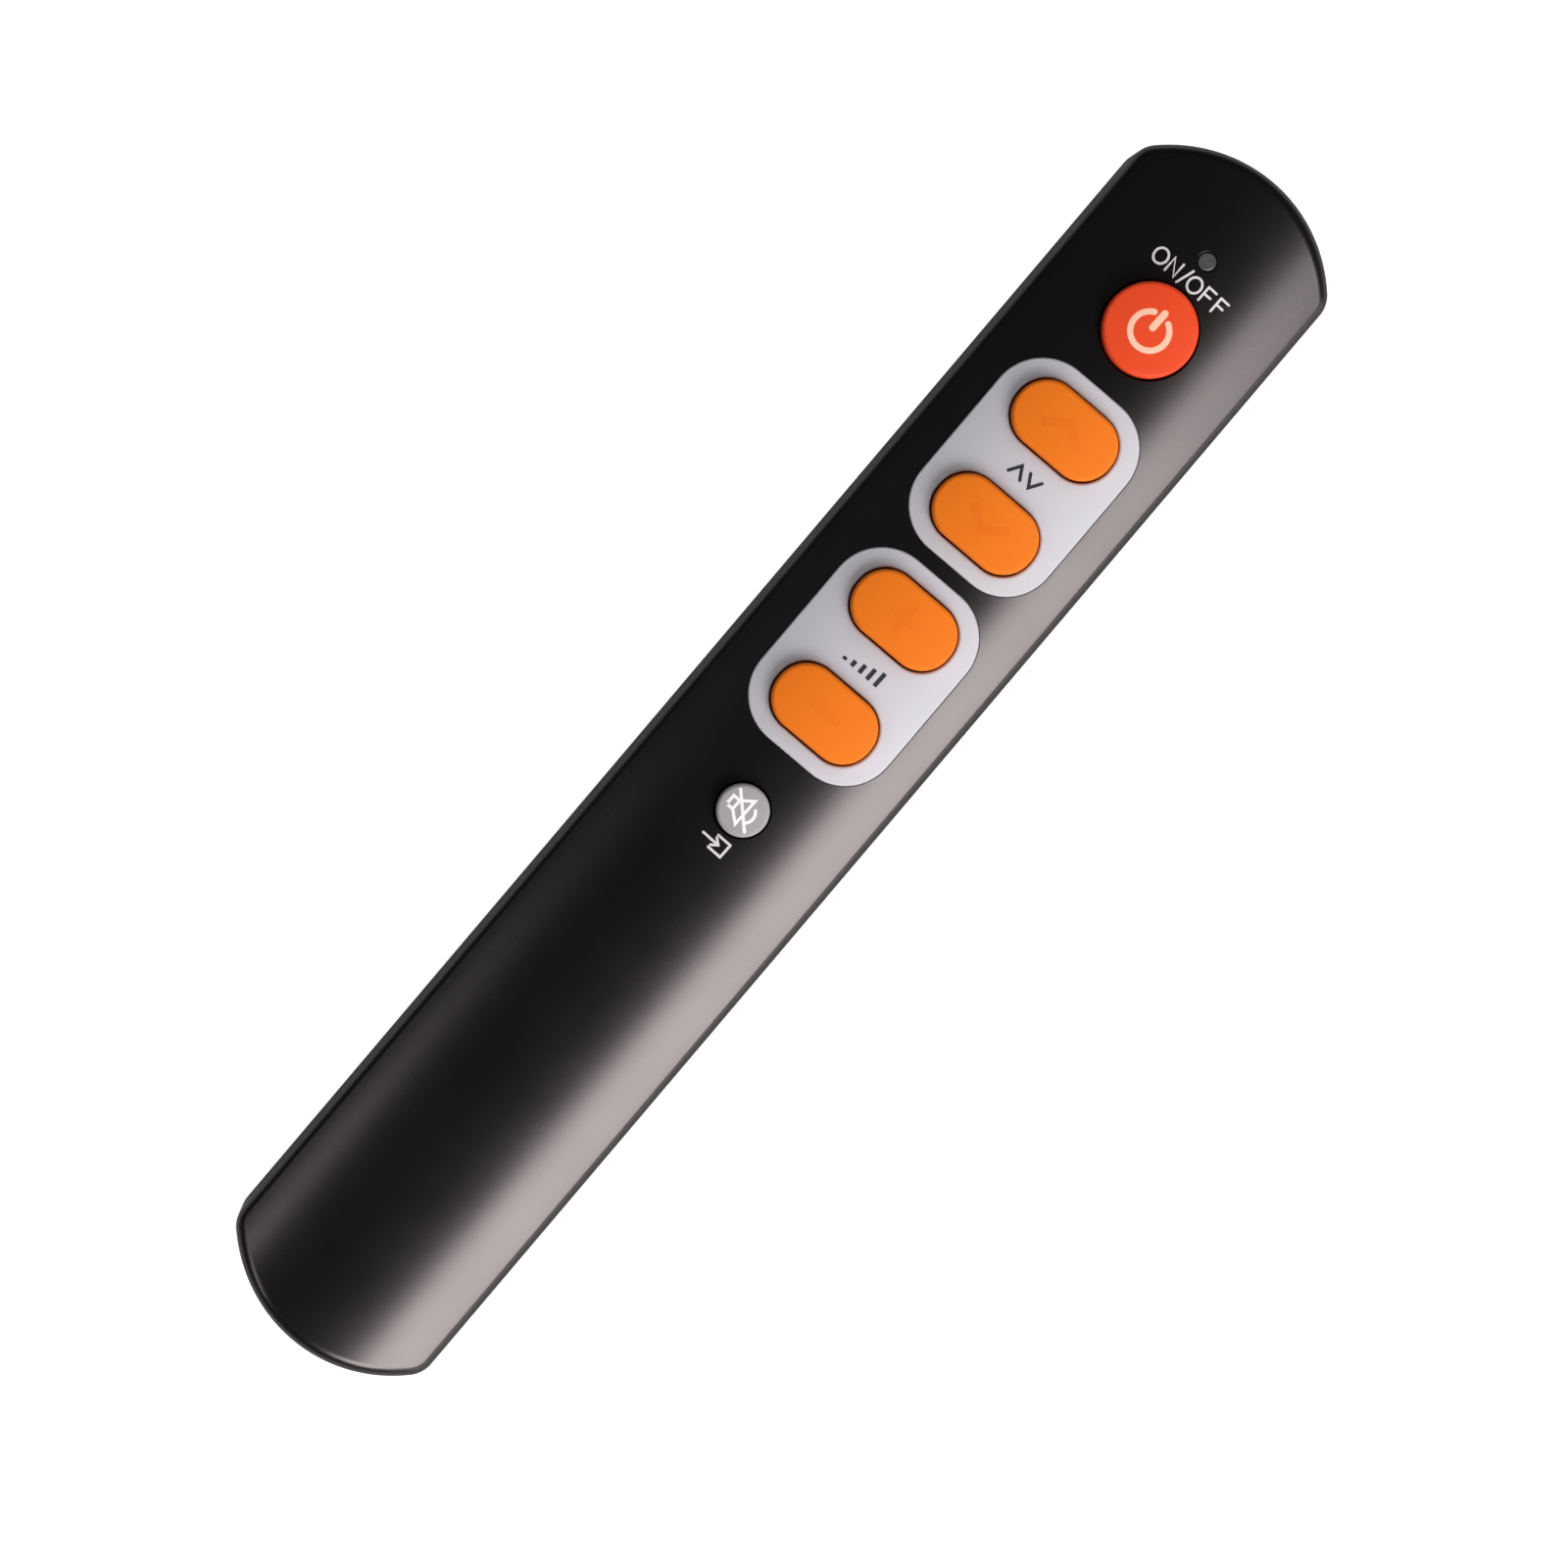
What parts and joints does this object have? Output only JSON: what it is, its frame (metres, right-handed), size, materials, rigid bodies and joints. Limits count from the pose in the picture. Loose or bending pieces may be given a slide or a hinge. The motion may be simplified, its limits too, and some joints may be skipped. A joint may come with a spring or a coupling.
{
  "type": "learning remote control",
  "caption": "Slim learning remote control with a crowned black case, a round power key, oval keys in silver panels, a mute key and a sliding battery door.",
  "frame": {"origin": "on the back face, under the middle of the body", "axes": "+X to the right with the keys facing the viewer, +Y along the body towards the infrared end, +Z out of the key side"},
  "size_m": [0.028, 0.1722, 0.0196],
  "materials": {
    "black_case": "satin black moulded plastic with a fine texture",
    "silver_panel": "thin plate painted silver",
    "orange_rubber": "orange silicone rubber, satin",
    "red_rubber": "orange-red silicone rubber, satin",
    "grey_rubber": "light grey silicone rubber, satin",
    "mat_rubber": "grey silicone rubber sheet",
    "carbon_rubber": "carbon-filled conductive rubber",
    "board_laminate": "glass-epoxy laminate with green solder mask",
    "contact_plating": "gilt key contacts",
    "window_plastic": "very dark red polished plastic",
    "led_epoxy": "pale blue-tinted epoxy",
    "receiver_epoxy": "dark epoxy",
    "indicator_epoxy": "red indicator chip in epoxy",
    "lens_plastic": "smoky grey polished plastic",
    "chip_epoxy": "black moulded epoxy",
    "tinned_metal": "tinned copper",
    "can_steel": "bright pressed steel can",
    "capacitor_sleeve": "aluminium can in a dark blue sleeve",
    "resistor_ceramic": "ceramic chip with a black coat",
    "cell_jacket": "steel can in a plain printed sleeve; aluminium gives the cell's mean density",
    "nickel_plate": "nickel-plated spring steel",
    "screw_steel": "zinc-plated steel"
  },
  "bodies": {
    "case": {"front_shell": "black_case", "rear_shell": "black_case", "channel_panel": "silver_panel", "volume_panel": "silver_panel", "keypad_mat": "mat_rubber", "circuit_board": "board_laminate", "key_contacts": "contact_plating", "infrared_window": "window_plastic", "infrared_led": "led_epoxy", "infrared_receiver": "receiver_epoxy", "indicator_chip": "indicator_epoxy", "indicator_lens": "lens_plastic", "controller_chip": "chip_epoxy", "memory_chip": "chip_epoxy", "transistor": "chip_epoxy", "controller_pins": "tinned_metal", "memory_pins": "tinned_metal", "solder_joints": "tinned_metal", "crystal": "can_steel", "capacitor": "capacitor_sleeve", "resistors": "resistor_ceramic", "left_cell": "cell_jacket", "right_cell": "cell_jacket", "negative_plate": "nickel_plate", "positive_plate": "nickel_plate", "link_plate": "nickel_plate", "negative_spring": "nickel_plate", "link_spring": "nickel_plate", "case_screws": "screw_steel", "power_dome": "mat_rubber", "mute_dome": "mat_rubber", "channel_up_dome": "mat_rubber", "channel_down_dome": "mat_rubber", "volume_up_dome": "mat_rubber", "volume_down_dome": "mat_rubber"},
    "door": {"battery_door": "black_case"},
    "power_button": {"power_key": "red_rubber", "power_pill": "carbon_rubber"},
    "mute_button": {"mute_key": "grey_rubber", "mute_pill": "carbon_rubber"},
    "channel_up_button": {"channel_up_key": "orange_rubber", "channel_up_pill": "carbon_rubber"},
    "channel_down_button": {"channel_down_key": "orange_rubber", "channel_down_pill": "carbon_rubber"},
    "volume_up_button": {"volume_up_key": "orange_rubber", "volume_up_pill": "carbon_rubber"},
    "volume_down_button": {"volume_down_key": "orange_rubber", "volume_down_pill": "carbon_rubber"}
  },
  "joints": [
    {"name": "battery_door_slide", "type": "slide", "parent": "case", "child": "door", "axis": [0, -1, 0], "range_m": [0, 0.055]},
    {"name": "power_press", "type": "slide", "parent": "case", "child": "power_button", "axis": [0, 0, -1], "range_m": [0, 0.0008], "stiffness_N_per_m": 1500, "deforming": ["power_dome"]},
    {"name": "mute_press", "type": "slide", "parent": "case", "child": "mute_button", "axis": [0, 0, -1], "range_m": [0, 0.0008], "stiffness_N_per_m": 1500, "deforming": ["mute_dome"]},
    {"name": "channel_up_press", "type": "slide", "parent": "case", "child": "channel_up_button", "axis": [0, 0, -1], "range_m": [0, 0.0008], "stiffness_N_per_m": 1500, "deforming": ["channel_up_dome"]},
    {"name": "channel_down_press", "type": "slide", "parent": "case", "child": "channel_down_button", "axis": [0, 0, -1], "range_m": [0, 0.0008], "stiffness_N_per_m": 1500, "deforming": ["channel_down_dome"]},
    {"name": "volume_up_press", "type": "slide", "parent": "case", "child": "volume_up_button", "axis": [0, 0, -1], "range_m": [0, 0.0008], "stiffness_N_per_m": 1500, "deforming": ["volume_up_dome"]},
    {"name": "volume_down_press", "type": "slide", "parent": "case", "child": "volume_down_button", "axis": [0, 0, -1], "range_m": [0, 0.0008], "stiffness_N_per_m": 1500, "deforming": ["volume_down_dome"]}
  ]
}
